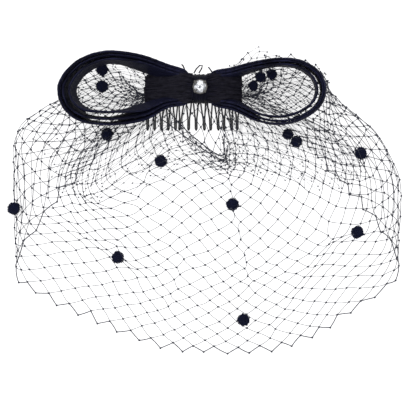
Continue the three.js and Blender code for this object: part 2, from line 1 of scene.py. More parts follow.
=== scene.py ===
import bpy
import numpy as np
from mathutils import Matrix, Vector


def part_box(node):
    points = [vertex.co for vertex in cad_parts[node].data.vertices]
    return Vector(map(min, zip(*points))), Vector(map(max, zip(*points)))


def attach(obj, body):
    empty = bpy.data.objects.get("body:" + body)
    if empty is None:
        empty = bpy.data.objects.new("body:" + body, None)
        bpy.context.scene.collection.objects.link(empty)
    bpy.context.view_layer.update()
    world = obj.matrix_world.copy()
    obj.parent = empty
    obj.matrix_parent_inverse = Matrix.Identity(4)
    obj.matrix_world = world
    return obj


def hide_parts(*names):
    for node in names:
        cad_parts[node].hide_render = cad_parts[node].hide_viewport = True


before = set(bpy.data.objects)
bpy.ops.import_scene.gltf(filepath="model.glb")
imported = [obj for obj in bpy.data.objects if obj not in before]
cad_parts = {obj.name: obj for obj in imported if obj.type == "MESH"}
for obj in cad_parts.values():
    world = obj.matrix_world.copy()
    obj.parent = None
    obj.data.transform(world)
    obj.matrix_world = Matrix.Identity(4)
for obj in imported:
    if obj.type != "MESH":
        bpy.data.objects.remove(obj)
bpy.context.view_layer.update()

# The view: the fascinator lies on its back on a pale table and is seen from straight above.
# One pixel of the picture is 0.6 mm at the piece's middle height, and the picture's middle lies on the veil.
PIXEL = 0.0006
PICTURE_PIXELS = 408
VIEW_X = 0.0024
VIEW_Y = -0.0696
EYE_HEIGHT = 1.3
MIDDLE_HEIGHT = 0.008
SENSOR_WIDTH = 36
eye = bpy.data.objects.new("eye", bpy.data.cameras.new("eye"))
eye.location = (VIEW_X, VIEW_Y, EYE_HEIGHT)
eye.data.sensor_width = SENSOR_WIDTH
eye.data.lens = SENSOR_WIDTH * (EYE_HEIGHT - MIDDLE_HEIGHT) / (PICTURE_PIXELS * PIXEL)
eye.data.clip_start = 0.01
bpy.context.collection.objects.link(eye)
bpy.context.scene.camera = eye

# The table: a plain white light board under the whole piece. It glows a little, and the light from a wide
# panel overhead and a bright even surround is soft, so that hardly any shadow is left on it.
TABLE_CORNERS = ((-3, -3), (3, -3), (3, 3), (-3, 3))
TABLE_TOP = -0.0002
table_mesh = bpy.data.meshes.new("table")
table_mesh.from_pydata([(x, y, TABLE_TOP) for x, y in TABLE_CORNERS], [], [(0, 1, 2, 3)])
table = bpy.data.objects.new("table", table_mesh)
bpy.context.collection.objects.link(table)
table_board = bpy.data.materials.new("table_board")
table_board.use_nodes = True
table_shader = table_board.node_tree.nodes["Principled BSDF"]
table_shader.inputs["Base Color"].default_value = (0.55, 0.55, 0.555, 1)
table_shader.inputs["Roughness"].default_value = 0.9
table_shader.inputs["Specular IOR Level"].default_value = 0.0
table_shader.inputs["Emission Color"].default_value = (1, 1, 1, 1)
table_shader.inputs["Emission Strength"].default_value = 0.65
table_mesh.materials.append(table_board)
PANELS = [
    # name, place, size, power
    ("panel_over", (0.0, 0.0, 1.7), 2.2, 24),
    ("panel_side", (-1.2, 0.9, 1.1), 1.0, 10),
]
for name, place, size, power in PANELS:
    panel = bpy.data.objects.new(name, bpy.data.lights.new(name, "AREA"))
    panel.location = place
    panel.data.size = size
    panel.data.energy = power
    toward = np.array((VIEW_X, VIEW_Y, 0.0)) - np.array(place)
    panel.rotation_euler = (np.arctan2(np.hypot(toward[0], toward[1]), -toward[2]), 0,
                            np.arctan2(toward[1], toward[0]) - np.pi / 2)
    bpy.context.collection.objects.link(panel)
surround = bpy.data.worlds.new("surround")
surround.use_nodes = True
surround.node_tree.nodes["Background"].inputs["Color"].default_value = (1, 1, 1, 1)
surround.node_tree.nodes["Background"].inputs["Strength"].default_value = 0.78
bpy.context.scene.world = surround
bpy.context.scene.view_settings.view_transform = "Standard"


# The comb: one length of black lacquered steel wire, bent into fourteen hairpins whose legs close
# into a stem, with a second wire wound round their heads to make the bar.
TEETH = 14
TOOTH_PITCH = 0.00415
COMB_CENTRE = -0.0046
COMB_WIRE = 0.00092
BAR_OVERHANG = 0.0015
COMB_HALF = TOOTH_PITCH * (TEETH - 1) / 2 + BAR_OVERHANG
TOOTH_LENGTH = 0.024
STEM_LENGTH = 0.0066
LEG_SPREAD = 0.0038
LEG_STAGGER = 0.00003
HEAD_TOP = 0.0003
BAR_HALF_WIDTH = 0.0015
TIP_START = 0.97
RAIL_PLACES = (-0.0007, 0.0007)
WOUND_WIRE = 0.0004
WOUND_TURNS = 42
WOUND_HALF_WIDTH = 0.00095
WOUND_HALF_DEPTH = 0.00045
STEM_BENDS = np.array([0, 0, 0, 0, 0.2, -1.6, -0.2, 0.2, 1.1, 0.7, 1.2, 0.4, 0.9, 0]) * 0.001


def grid_faces(rows, columns, ring_rows=False, ring_columns=False, turned=False):
    """Faces of a grid whose corners are counted row by row: corners (i, j), (i + 1, j), (i + 1, j + 1) and
    (i, j + 1), or the other way round if turned. A ring closes the last row or column on the first."""
    i, j = np.meshgrid(np.arange(rows - (not ring_rows)), np.arange(columns - (not ring_columns)),
                       indexing="ij")
    below, beside = (i + 1) % rows, (j + 1) % columns
    faces = [i * columns + j, below * columns + j, below * columns + beside, i * columns + beside]
    if turned:
        faces = [faces[0], *faces[:0:-1]]
    return np.stack(faces, axis=-1).reshape(-1, 4)


def tubes(paths, radius, sides, closed=True):
    """Round tubes along many paths of equal length. paths is (paths, points, 3); radius is one number, or
    one for each point. Ring j of a path stands at its point, at right angles to the chord of its
    neighbours. Returns the corners and the faces. The ends are closed, unless they end inside a knot."""
    count, steps = paths.shape[:2]
    ahead = np.gradient(paths, axis=1)
    ahead /= np.linalg.norm(ahead, axis=2, keepdims=True) + 1e-12
    upright = np.abs(ahead[:, :, 2:3]) > 0.9
    side = np.where(upright, np.array([1.0, 0, 0]), np.array([0, 0, 1.0]))
    first = np.cross(ahead, side)
    first /= np.linalg.norm(first, axis=2, keepdims=True) + 1e-12
    second = np.cross(ahead, first)
    turn = np.arange(sides) * 2 * np.pi / sides
    reach = np.broadcast_to(np.asarray(radius, float), (count, steps))
    ring = first[:, :, None] * np.cos(turn)[:, None] + second[:, :, None] * np.sin(turn)[:, None]
    corners = (paths[:, :, None] + ring * reach[:, :, None, None]).reshape(-1, 3)
    start = (np.arange(count) * steps * sides)[:, None, None]
    walls = start + grid_faces(steps, sides, ring_columns=True, turned=True)
    faces = walls.reshape(-1, 4).tolist()
    if closed:
        ends = start[:, 0] + np.arange(sides)
        faces += ends[:, ::-1].tolist() + (ends + (steps - 1) * sides).tolist()
    return corners, faces


def round_shell(polar, sides):
    """Points of a unit ball, one ring at each polar angle p and one point of it at each turn t:
    (sin p cos t, sin p sin t, cos p)."""
    turn = 2 * np.pi * np.arange(sides) / sides
    return np.stack([np.sin(polar)[:, None] * np.cos(turn), np.sin(polar)[:, None] * np.sin(turn),
                     np.broadcast_to(np.cos(polar)[:, None], (len(polar), sides))], axis=-1)


def new_piece(name, corners, faces, material, uv=None):
    """A smooth mesh object of that name from corners and faces; uv is one pair per corner."""
    mesh = bpy.data.meshes.new(name)
    mesh.from_pydata(corners.tolist(), [], faces)
    mesh.polygons.foreach_set("use_smooth", np.ones(len(mesh.polygons), dtype=bool))
    if uv is not None:
        corner_of_loop = np.empty(len(mesh.loops), dtype=np.int32)
        mesh.loops.foreach_get("vertex_index", corner_of_loop)
        mesh.uv_layers.new(name="along_and_up").data.foreach_set("uv", uv[corner_of_loop].ravel())
    mesh.materials.append(material)
    mesh.update()
    piece = bpy.data.objects.new(name, mesh)
    bpy.context.collection.objects.link(piece)
    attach(piece, "root")
    return piece


def joined(parts):
    """Corners and faces of several meshes as one."""
    starts = np.cumsum([0] + [len(corners) for corners, _ in parts]).tolist()
    faces = []
    for (_, part_faces), start in zip(parts, starts):
        faces += [[corner + start for corner in face] for face in part_faces]
    return np.concatenate([corners for corners, _ in parts]), faces


def start_material(name):
    """A node material of that name, with its nodes, its links and its shader."""
    material = bpy.data.materials.new(name)
    material.use_nodes = True
    tree = material.node_tree
    return material, tree.nodes, tree.links, tree.nodes["Principled BSDF"]


def node_pattern(name, inputs, outputs):
    """A node group of that name with those sockets: Dark, Light and Colour are colours, and the others
    numbers. Returns the group, and the two nodes inside it that bring the inputs and take the outputs."""
    group = bpy.data.node_groups.new(name, "ShaderNodeTree")
    for way, labels in (("INPUT", inputs), ("OUTPUT", outputs)):
        for label in labels:
            kind = "NodeSocketColor" if label in ("Dark", "Light", "Colour") else "NodeSocketFloat"
            group.interface.new_socket(name=label, in_out=way, socket_type=kind)
    return group, group.nodes.new("NodeGroupInput"), group.nodes.new("NodeGroupOutput")


# Small unevenness that lacquer, thread and plate share: colour and shine that drift over the surface.
# A mix of colours takes its two colours at the first two sockets named here and gives the mix at the third.
MIX_FROM = 6
MIX_TO = 7
MIX_RESULT = 2
drift, inside, outside = node_pattern("surface_drift", ("Dark", "Light", "Scale", "Rough", "Spread"),
                                      ("Colour", "Roughness", "Height"))
spot = drift.nodes.new("ShaderNodeTexCoord")
cloud = drift.nodes.new("ShaderNodeTexNoise")
cloud.inputs["Detail"].default_value = 5
tint = drift.nodes.new("ShaderNodeMix")
tint.data_type = "RGBA"
shine = drift.nodes.new("ShaderNodeMath")
shine.operation = "MULTIPLY_ADD"
drift.links.new(spot.outputs["Object"], cloud.inputs["Vector"])
drift.links.new(inside.outputs["Scale"], cloud.inputs["Scale"])
drift.links.new(cloud.outputs["Fac"], tint.inputs[0])
drift.links.new(inside.outputs["Dark"], tint.inputs[MIX_FROM])
drift.links.new(inside.outputs["Light"], tint.inputs[MIX_TO])
drift.links.new(cloud.outputs["Fac"], shine.inputs[0])
drift.links.new(inside.outputs["Spread"], shine.inputs[1])
drift.links.new(inside.outputs["Rough"], shine.inputs[2])
drift.links.new(tint.outputs[MIX_RESULT], outside.inputs["Colour"])
drift.links.new(shine.outputs[0], outside.inputs["Roughness"])
drift.links.new(cloud.outputs["Fac"], outside.inputs["Height"])


def drifting(name, dark, light, scale, rough, spread, relief, others):
    """A material whose colour, shine and relief follow the surface drift. relief is in metres, and others
    sets further inputs of the shader by name."""
    material, nodes, links, shader = start_material(name)
    group = nodes.new("ShaderNodeGroup")
    group.node_tree = drift
    group.inputs["Dark"].default_value = (*dark, 1)
    group.inputs["Light"].default_value = (*light, 1)
    group.inputs["Scale"].default_value = scale
    group.inputs["Rough"].default_value = rough
    group.inputs["Spread"].default_value = spread
    bump = nodes.new("ShaderNodeBump")
    bump.inputs["Distance"].default_value = relief
    links.new(group.outputs["Colour"], shader.inputs["Base Color"])
    links.new(group.outputs["Roughness"], shader.inputs["Roughness"])
    links.new(group.outputs["Height"], bump.inputs["Height"])
    links.new(bump.outputs["Normal"], shader.inputs["Normal"])
    for label, value in others.items():
        shader.inputs[label].default_value = value
    return material


lacquer = drifting("black_lacquer", (0.003, 0.003, 0.004), (0.012, 0.012, 0.015), 900, 0.22, 0.25, 0.00004,
                   {"Coat Weight": 0.15, "Specular IOR Level": 0.15})
tooth_root = COMB_CENTRE + TOOTH_PITCH * (np.arange(TEETH) - (TEETH - 1) / 2)
down = np.linspace(0, 1, 22)
fork = (TOOTH_LENGTH - STEM_LENGTH) / TOOTH_LENGTH
closing = np.clip(down / fork, 0, 1) ** 1.6
half_spread = LEG_SPREAD / 2 + (COMB_WIRE * 0.52 - LEG_SPREAD / 2) * closing
tip = np.clip((down - TIP_START) / (1 - TIP_START), 0, 1)
half_spread = half_spread * np.sqrt(1 - tip ** 2)
comb_z = COMB_WIRE / 2 + 0.0001
legs = []
for side in (-1, 1):
    x = tooth_root[:, None] + side * half_spread + STEM_BENDS[:, None] * down ** 1.4
    y = np.broadcast_to(HEAD_TOP - (TOOTH_LENGTH + BAR_HALF_WIDTH) * down, x.shape)
    z = np.full_like(x, comb_z) + side * LEG_STAGGER
    legs.append(np.stack([x, y, z], axis=-1))
hairpins = np.concatenate([legs[0], legs[1][:, ::-1]], axis=1)
around = np.linspace(0, 1, 900)
winding = np.stack([
    COMB_CENTRE + (around - 0.5) * TOOTH_PITCH * (TEETH - 0.4),
    WOUND_HALF_WIDTH * np.cos(around * 2 * np.pi * WOUND_TURNS),
    comb_z + 0.0001 + WOUND_HALF_DEPTH * np.sin(around * 2 * np.pi * WOUND_TURNS),
], axis=-1)[None]
rail_x = COMB_CENTRE + np.linspace(-0.5, 0.5, 30) * (TOOTH_PITCH * (TEETH - 1) + LEG_SPREAD + COMB_WIRE)
rails = np.stack([np.stack([rail_x, np.full_like(rail_x, y), np.full_like(rail_x, comb_z)], axis=-1)
                  for y in RAIL_PLACES])
comb = new_piece("comb_wire", *joined([
    tubes(hairpins, COMB_WIRE / 2, 8),
    tubes(winding, WOUND_WIRE / 2, 5),
    tubes(rails, COMB_WIRE / 2, 8),
]), lacquer)
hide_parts("comb")


# The veil: a strip of stiff knotted nylon netting, gathered on to the comb along its top edge. It lies
# as a pouch, with both ends turned under at the sides, and a thicker thread runs along its zigzag hem.
HALF_SPAN = 0.1165
DROP = 0.161
LOFT = 0.020
HEM_CELLS = 36
NET_ROWS = 32
# How far a knot strays from its place.
NET_STRAY = 0.00045
# Each thread's curve comes down to the hem's height. Where it would be lower than the floor it lies flat
# there, with its knots just clear of the table.
HEM_HEIGHT = 0.0006
NET_FLOOR = 0.0013
# Widths of thread and knot: of the front's net, of the doubled net behind it and turned over it, and of
# the cord in the hem and the free top edge.
THREAD = 0.00034
KNOT = 0.00145
INNER_THREAD = 0.00019
INNER_KNOT = 0.00105
HEM_THREAD = 0.0006
# Threads of the veil from its left end to its right end. at: share of the hem. x0: where the thread is
# gathered, as a share of COMB_HALF from the comb's middle. The other x and all y, at the gather and at each
# quarter of the thread, are shares of HALF_SPAN and DROP; z as shares of LOFT.
VEIL_THREADS = np.array([
    # at, x0, y0, z0, x1, y1, z1, x2, y2, z2, x3, y3, z3, x4, y4
    (0.000, -1.172, -0.016, 0.12, -0.42, 0.06, 0.17, -0.62, 0.07, 0.17, -0.58, -0.07, 0.03, -0.33, -0.14),
    (0.080, -1.102, -0.019, 0.12, -0.48, 0.00, 0.26, -0.71, -0.03, 0.20, -0.68, -0.16, 0.03, -0.47, -0.22),
    (0.165, -1.014, -0.022, 0.12, -0.49, -0.10, 0.28, -0.85, -0.13, 0.27, -0.93, -0.29, 0.12, -0.74, -0.42),
    (0.236, -0.909, -0.025, 0.12, -0.58, -0.22, 0.34, -0.80, -0.38, 0.40, -0.93, -0.52, 0.24, -0.96, -0.69),
    (0.292, -0.786, -0.031, 0.12, -0.58, -0.29, 0.44, -0.66, -0.45, 0.62, -0.70, -0.59, 0.44, -0.79, -0.79),
    (0.347, -0.628, -0.050, 0.12, -0.50, -0.36, 0.50, -0.49, -0.50, 0.80, -0.48, -0.66, 0.52, -0.58, -0.86),
    (0.403, -0.400, -0.106, 0.14, -0.24, -0.34, 0.46, -0.26, -0.56, 0.76, -0.28, -0.73, 0.70, -0.37, -0.93),
    (0.458, 0.056, -0.186, 0.22, -0.03, -0.34, 0.52, -0.06, -0.56, 0.96, -0.11, -0.77, 0.84, -0.15, -0.98),
    (0.514, 0.618, -0.252, 0.30, 0.14, -0.36, 0.46, 0.14, -0.59, 0.90, 0.10, -0.79, 0.86, 0.08, -0.99),
    (0.569, 0.660, -0.180, 0.24, 0.29, -0.35, 0.56, 0.30, -0.59, 1.00, 0.28, -0.79, 0.82, 0.31, -0.99),
    (0.625, 0.770, -0.095, 0.14, 0.44, -0.31, 0.50, 0.50, -0.57, 0.84, 0.48, -0.76, 0.70, 0.53, -0.95),
    (0.681, 0.900, -0.055, 0.12, 0.57, -0.26, 0.46, 0.68, -0.52, 0.72, 0.69, -0.68, 0.56, 0.72, -0.87),
    (0.760, 1.070, -0.031, 0.12, 0.66, -0.18, 0.38, 0.88, -0.37, 0.46, 0.99, -0.55, 0.28, 1.03, -0.69),
    (0.835, 1.232, -0.025, 0.12, 0.52, -0.09, 0.28, 0.86, -0.15, 0.28, 1.01, -0.32, 0.12, 0.84, -0.45),
    (0.920, 1.337, -0.022, 0.12, 0.45, 0.01, 0.26, 0.69, -0.03, 0.20, 0.72, -0.17, 0.03, 0.66, -0.30),
    (1.000, 1.425, -0.016, 0.12, 0.34, 0.12, 0.17, 0.60, 0.09, 0.17, 0.64, -0.05, 0.03, 0.52, -0.18),
])
# Creases of the front: from and to points in millimetres, how wide the net is drawn in, how strongly,
# and how far the crease stands up.
CREASES = np.array([
    # x0, y0, x1, y1, width, draw, rise
    (-30, -46, -37, -67, 6.5, 0.78, 1.0),
    (-34, -75, -47, -91, 6.0, 0.65, 1.0),
    (-70, -90, -38, -109, 6.0, 0.60, 1.5),
    (-8, -97, -17, -125, 5.0, 0.60, 1.0),
    (16, -42, 20, -70, 5.5, 0.82, 1.0),
    (20, -74, 30, -115, 5.0, 0.75, 1.5),
    (111, -86, 79, -91, 6.0, 0.60, 1.0),
    (78, -92, 44, -142, 6.0, 0.65, 1.5),
])


def between_rows(at, values, place):
    """Smooth values between rows. at is (rows,), values is (points, rows, kinds) and place is (points,).
    Each piece is a cubic whose slopes are the chords between the rows on either side."""
    last = len(at) - 1
    k = np.clip(np.searchsorted(at, place, side="right") - 1, 0, last - 1)
    before = np.maximum(k - 1, 0)
    after = np.minimum(k + 2, last)
    row = np.arange(len(place))
    a, b, c, d = (values[row, index] for index in (before, k, k + 1, after))
    width = (at[k + 1] - at[k])[:, None]
    t = (place - at[k])[:, None] / width
    slope_b = np.where((k == 0)[:, None], c - b, (c - a) * width / (at[k + 1] - at[before])[:, None])
    slope_c = np.where((k == last - 1)[:, None], c - b, (d - b) * width / (at[after] - at[k])[:, None])
    return (b * (2 * t ** 3 - 3 * t ** 2 + 1) + slope_b * (t ** 3 - 2 * t ** 2 + t)
            + c * (3 * t ** 2 - 2 * t ** 3) + slope_c * (t ** 3 - t ** 2))


def veil_surface(across, down):
    """Points of the veil at shares across the hem and shares down the thread: the table's smooth values
    across, and then a smooth curve down through the thread's five places."""
    across = np.asarray(across, float)
    table = np.broadcast_to(VEIL_THREADS[None, :, 1:], (len(across), *VEIL_THREADS[:, 1:].shape))
    spots = between_rows(VEIL_THREADS[:, 0], table, across)
    spots = np.concatenate([spots, np.full((len(across), 1), HEM_HEIGHT / LOFT)], axis=1).reshape(-1, 5, 3)
    gathered = COMB_CENTRE + spots[:, 0, 0] * COMB_HALF
    spots = spots * np.array([HALF_SPAN, DROP, LOFT])
    spots[:, 0, 0] = gathered
    points = between_rows(np.linspace(0, 1, 5), spots, down)
    points[:, 2] = np.maximum(points[:, 2], NET_FLOOR)
    return points


def drawn_in(points, upper):
    """Points after the creases: each moves towards a crease by a share that falls off as a bell curve with
    its distance, and rises by the same curve. upper is 1 on the front and 0 on the ends turned under."""
    for x0, y0, x1, y1, width, draw, rise in CREASES:
        start = np.array([x0, y0]) * 0.001
        along = np.array([x1 - x0, y1 - y0]) * 0.001
        place = np.clip((points[:, :2] - start) @ along / (along @ along), 0, 1)
        away = points[:, :2] - (start + place[:, None] * along)
        bell = np.exp(-(away ** 2).sum(axis=1) / (width * 0.001) ** 2) * upper
        points[:, :2] -= away * (draw * bell)[:, None]
        points[:, 2] += rise * 0.001 * bell
    return points


def net_of(surface, columns, rows, stray, seed):
    """Knots and threads of a knotted net on a surface. Knot (i, r) stands at i of twice the columns across
    and r of the rows down, where i + r is even, and a thread joins it to both knots below. Each knot strays,
    less in height and at the first column, and each thread bows. Returns the knots, the threads as
    (threads, points, 3), and the row of each thread."""
    rng = np.random.default_rng(seed)
    i, r = np.meshgrid(np.arange(2 * columns + 1), np.arange(rows + 1), indexing="ij")
    shake = rng.normal(0, stray, (2 * columns + 1, rows + 1, 3))
    shake[:, :, 2] *= 0.4
    shake[:, 0] *= 0.3
    real = (i + r) % 2 == 0
    knots = surface(i[real] / (2 * columns), r[real] / rows) + shake[real]
    paths, levels = [], []
    steps = np.linspace(0, 1, 5)
    for way in (-1, 1):
        ok = real & (r < rows) & (i + way >= 0) & (i + way <= 2 * columns)
        a, b = i[ok], r[ok]
        u = (a[:, None] + way * steps) / (2 * columns)
        v = (b[:, None] + steps) / rows
        thread = surface(u.ravel(), v.ravel()).reshape(len(a), 5, 3)
        thread += (shake[a, b][:, None] * (1 - steps)[:, None]
                   + shake[a + way, b + 1][:, None] * steps[:, None])
        bow = rng.normal(0, stray * 0.35, (len(a), 1, 3)) * (4 * steps * (1 - steps))[:, None]
        bow[:, :, 2] *= 0.5
        paths.append(thread + bow)
        levels.append(b)
    return knots, np.concatenate(paths), np.concatenate(levels)


def knot_beads(centres, size):
    """Small five sided beads of that size at the centres."""
    sides, rings = 5, 3
    shell = round_shell(np.pi * (np.arange(rings) + 1) / (rings + 1), sides).reshape(-1, 3)
    shell = np.concatenate([shell, [[0, 0, 1], [0, 0, -1]]])
    corners = (centres[:, None] + shell * size / 2).reshape(-1, 3)
    j = np.arange(sides)
    beside = (j + 1) % sides
    last = (rings - 1) * sides
    top = np.stack([np.full(sides, rings * sides), j, beside], axis=-1)
    bottom = np.stack([np.full(sides, rings * sides + 1), last + beside, last + j], axis=-1)
    start = (np.arange(len(centres)) * len(shell))[:, None, None]
    return corners, ((start + np.concatenate([top, bottom])).reshape(-1, 3).tolist()
                     + (start + grid_faces(rings, sides, ring_columns=True)).reshape(-1, 4).tolist())


# The creases fade in between these shares of the hem, counted from either end, where the front begins.
FRONT_START = 0.16
FRONT_BLEND = 0.06
# The left fold stands out to a corner beside the loop: where it is, in metres, how far it is drawn out to
# the left, and how far round it that reaches.
CORNER = (-0.1060, -0.0285)
CORNER_DRAW = 0.0048
CORNER_REACH = 0.016


def front_surface(across, down):
    """The veil with its creases, which only the front has, and with the left fold drawn out to its corner by
    a bell curve round it."""
    points = veil_surface(across, down)
    from_end = 0.5 - np.abs(np.asarray(across) - 0.5)
    away = ((points[:, :2] - np.array(CORNER)) ** 2).sum(axis=1)
    points[:, 0] -= CORNER_DRAW * np.exp(-away / CORNER_REACH ** 2)
    return drawn_in(points, np.clip((from_end - FRONT_START) / FRONT_BLEND, 0, 1))


# The doubled ends of the strip fan out from the comb under each loop, and fill the loops' open insides.
END_FANS = [
    # gathered from and to in x, five points of the outer edge from one side to the other, the height
    # there, in millimetres, and the net's columns and rows
    (-31, -7, ((-70, -19), (-81, -2), (-66, 17), (-42, 19), (-20, 12)), 3.5, 15, 11),
    (-29, -9, ((-64, -20), (-78, -8), (-70, 12), (-50, 19), (-26, 14)), 6.0, 10, 9),
    (-31, -14, ((-104, -26), (-86, -48), (-66, -58), (-44, -52), (-18, -42)), 9.0, 11, 11),
    (6, 25, ((20, 13), (35, 24.5), (53, 15), (77, 9), (70, -12)), 3.5, 12, 10),
    (8, 25, ((26, 12), (44, 15.5), (64, 14), (77.5, 3.5), (62, -18)), 6.0, 10, 9),
    (10, 24, ((30, 10), (50, 14), (66, 10), (72, -4), (50, -20)), 8.0, 8, 8),
    (12, 25, ((11, -33), (28, -50), (52, -56), (80, -62), (104, -48)), 9.0, 11, 11),
]
# Below the comb's middle the net hangs open, in single cells of the full thread.
MIDDLE_FAN = (-9, 12, ((-13, -30), (-6, -35), (3, -40), (11, -42), (18, -36)), 9.0, 4, 5)
# The gathered line of all fans, in millimetres.
FAN_ROOT_Y = -4.0
FAN_ROOT_Z = 2.4
FAN_STRAY = 0.0008
MIDDLE_STRAY = 0.0009
# The net's free top edge shows as two cords: from and to as shares of the hem, and each one's share down
# the threads.
TOP_EDGE = (0.375, 0.56)
TOP_CORDS = (0.0, 0.035)


def fan_net(fan, stray, seed):
    """The net of one fan, as net_of returns it, on a surface that runs straight from the gathered line to a
    smooth curve through the fan's outer points."""
    start, end, rim, height, columns, rows = fan

    def surface(across, down):
        outer = np.broadcast_to(np.array([(x, y, height) for x, y in rim], float), (len(across), 5, 3))
        outer = between_rows(np.linspace(0, 1, 5), outer, across)
        root = [start + (end - start) * across, np.full_like(across, FAN_ROOT_Y),
                np.full_like(across, FAN_ROOT_Z)]
        inner = np.stack(root, axis=-1)
        return (inner + (outer - inner) * down[:, None]) * 0.001

    return net_of(surface, columns, rows, stray, seed)


netting = drifting("nylon_netting", (0.012, 0.013, 0.020), (0.050, 0.054, 0.075), 1500, 0.45, 0.2, 0.00003,
                   {"Specular IOR Level": 0.15})
knots, threads, level = net_of(front_surface, HEM_CELLS, NET_ROWS, NET_STRAY, 7)
hem = level == NET_ROWS - 1
fans = [fan_net(fan, FAN_STRAY, 50 + number) for number, fan in enumerate(END_FANS)]
fan_knots = np.concatenate([fan[0] for fan in fans])
fan_threads = np.concatenate([fan[1] for fan in fans])
middle_knots, middle_threads, _ = fan_net(MIDDLE_FAN, MIDDLE_STRAY, 61)
top_edge = np.linspace(*TOP_EDGE, 70)
top_cords = np.stack([veil_surface(top_edge, np.full_like(top_edge, share)) for share in TOP_CORDS])
veil = new_piece("veil_net", *joined([
    tubes(threads[~hem], THREAD / 2, 4, closed=False),
    tubes(fan_threads, INNER_THREAD / 2, 4, closed=False),
    tubes(middle_threads, THREAD / 2, 4, closed=False),
    tubes(threads[hem], HEM_THREAD / 2, 7, closed=False),
    tubes(top_cords, HEM_THREAD / 2, 6, closed=False),
    knot_beads(np.concatenate([knots, middle_knots]), KNOT),
    knot_beads(fan_knots, INNER_KNOT),
]), netting)
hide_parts("veil")


# The flap: the net's short top edge, turned over the front at the gather, so that the net is double
# there. It is the same netting, a little above the veil, with an uneven lower edge.
FLAP_LIFT = 0.002
FLAP_RISE = 0.0024
FLAP_COLUMNS = 34
FLAP_ROWS = 15
FLAP_STRAY = 0.0010
FLAP_REACH = np.array([
    # at, reach
    (0.19, 0.44), (0.29, 0.42), (0.40, 0.27), (0.50, 0.15), (0.60, 0.24), (0.70, 0.38), (0.81, 0.46),
])


def flap_surface(across, down):
    """The veil's surface, read to the flap's reach down each thread and lifted as it goes down."""
    at, table = FLAP_REACH[:, 0], FLAP_REACH[:, 1:]
    place = at[0] + (at[-1] - at[0]) * across
    reach = between_rows(at, np.broadcast_to(table, (len(place), *table.shape)), place)
    points = veil_surface(place, reach[:, 0] * down)
    points[:, 2] += FLAP_LIFT + FLAP_RISE * down
    return points


flap_knots, flap_threads, _ = net_of(flap_surface, FLAP_COLUMNS, FLAP_ROWS, FLAP_STRAY, 11)
flap = new_piece("veil_flap_net", *joined([
    tubes(flap_threads, INNER_THREAD / 2, 5, closed=False),
    knot_beads(flap_knots, INNER_KNOT),
]), netting)
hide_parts("veil_flap")


# The dots: short lengths of dark navy chenille wound round single knots of the net. Each is a core
# ball with short pile standing out of it all over.
DOT_DIAMETER = 0.0072
# Each dot's share of the diameter, from dot_01 to dot_16.
DOT_SIZES = (1.00, 1.00, 0.95, 1.00, 1.00, 1.00, 1.00, 1.00, 1.00, 1.00, 1.00, 0.90, 0.93, 0.86, 0.86, 0.80)
TUFTS = 420
TUFT_RADII = (0.00034, 0.00026, 0.00008)


def chenille_ball(centre, radius, seed):
    """A core ball whose radius wavers, with pile: short tapering tufts on a spiral of directions, each
    leaning a little to one side."""
    rng = np.random.default_rng(seed)
    sides, rings = 20, 12
    shell = round_shell(np.pi * (np.arange(rings) + 0.5) / rings, sides)
    waver = 0.86 + 0.05 * rng.normal(0, 1, (rings, sides, 1)).clip(-1.5, 1.5)
    core = (centre + shell * waver * radius).reshape(-1, 3)
    caps = [list(range(sides)), list(range((rings - 1) * sides, rings * sides))[::-1]]
    order = np.arange(TUFTS) + 0.5
    height = 1 - 2 * order / TUFTS
    level = np.sqrt(1 - height ** 2)
    swing = order * np.pi * (1 + 5 ** 0.5)
    out = np.stack([level * np.cos(swing), level * np.sin(swing), height], axis=-1)
    lean = out + rng.normal(0, 0.28, out.shape)
    lean /= np.linalg.norm(lean, axis=1, keepdims=True)
    clump = 0.5 * np.sin(out @ rng.normal(0, 3.2, 3) + rng.uniform(0, 6.28))
    clump = 1 + clump * np.sin(out @ rng.normal(0, 4, 3))
    foot = centre + out * radius * 0.78
    tip = foot + lean * radius * ((0.17 + 0.18 * rng.random(TUFTS)) * clump)[:, None]
    pile = np.stack([foot, (foot + tip) / 2, tip], axis=1)
    return joined([(core, grid_faces(rings, sides, ring_columns=True).tolist() + caps),
                   tubes(pile, TUFT_RADII, 4)])


chenille = drifting("navy_chenille", (0.0015, 0.002, 0.009), (0.005, 0.008, 0.032), 1200, 0.9, 0.08, 0.00012,
                    {"Sheen Weight": 0.03, "Specular IOR Level": 0.1})
for number, size in enumerate(DOT_SIZES):
    name = f"dot_{number + 1:02d}"
    low, high = (np.array(corner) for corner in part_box(name))
    ball = new_piece(name + "_pile", *chenille_ball((low + high) / 2, DOT_DIAMETER / 2 * size * 1.02, number),
                     chenille)
    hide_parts(name)


# The bow's loops: three bands of navy crinoline ribbon on edge in each loop, nested in one another.
# Towards the wrap they are pinched, so that their lower edges lie over to the middle of the bow.
LOOP_REACH = 0.085
LOOP_HALF_HEIGHT = 0.023
RIBBON_WIDTH = 0.017
RIBBON_WALL = 0.0013
LOOP_FLOOR = 0.0107
# The share of its width that the ribbon keeps at the wrap.
LOOP_ROOT = 0.34
